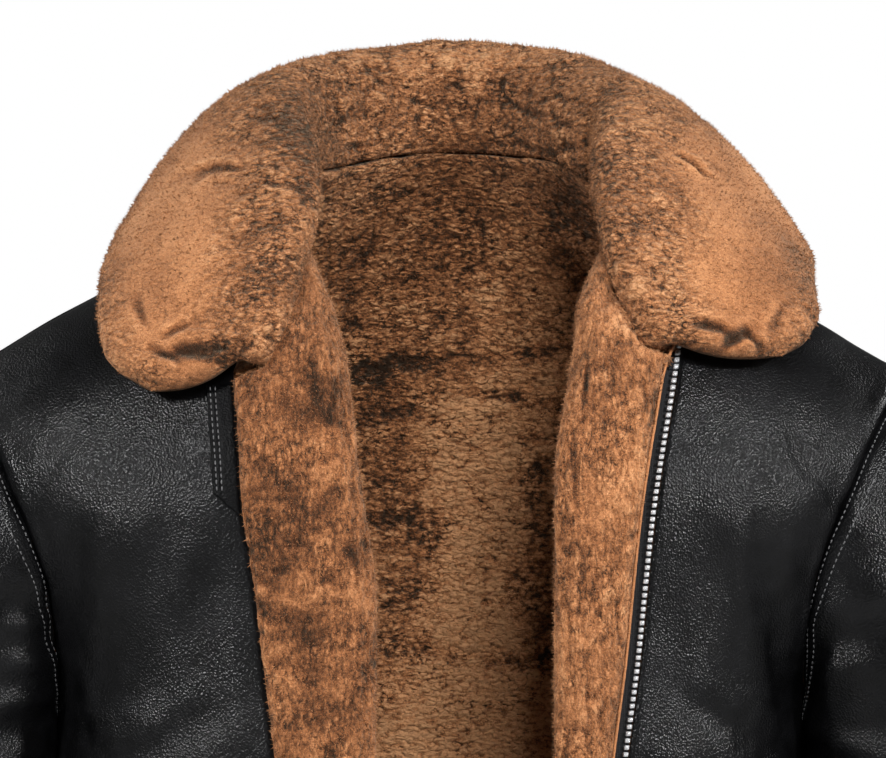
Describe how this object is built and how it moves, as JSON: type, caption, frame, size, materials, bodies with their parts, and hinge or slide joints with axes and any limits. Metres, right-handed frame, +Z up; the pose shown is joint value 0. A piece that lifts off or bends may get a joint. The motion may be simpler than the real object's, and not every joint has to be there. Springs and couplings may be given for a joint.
{
  "type": "leather coat",
  "caption": "Hip-length black leather coat lined with curly ginger wool, big fold-down wool collar, open metal zip, worn-open hollow form.",
  "frame": {"origin": "middle of the back neck seam, between the shoulders, where the wearer holds it", "axes": "+Z up, +X towards the wearer's left, front faces -Y"},
  "size_m": [0.6746, 0.2852, 0.8022],
  "materials": {
    "leather": "pebbled, satin",
    "wool": "curly pile",
    "tape": "woven",
    "metal": "polished teeth"
  },
  "bodies": {
    "coat": {"back": "leather", "front_left": "leather", "front_right": "leather", "sleeve_left": "leather", "sleeve_right": "leather", "collar": "wool", "storm_flap_right_lower": "wool", "storm_flap_left_lower": "wool", "storm_flap_left": "wool", "storm_flap_right": "wool", "zip_tape_left": "tape", "zip_tape_right": "tape", "zip_teeth_left": "metal", "zip_teeth_right": "metal", "throat_tab": "leather", "zip_box": "metal", "zip_pin": "metal", "zip_slider": "metal"},
    "pull_tab": {"zip_pull": "metal"}
  },
  "joints": [
    {"name": "pull_tab_hinge", "type": "hinge", "parent": "coat", "child": "pull_tab", "pos_m": [-0.06428, -0.13316, -0.71], "axis": [-0.9951, 0.0985, 0], "range_deg": [0, 150]}
  ]
}
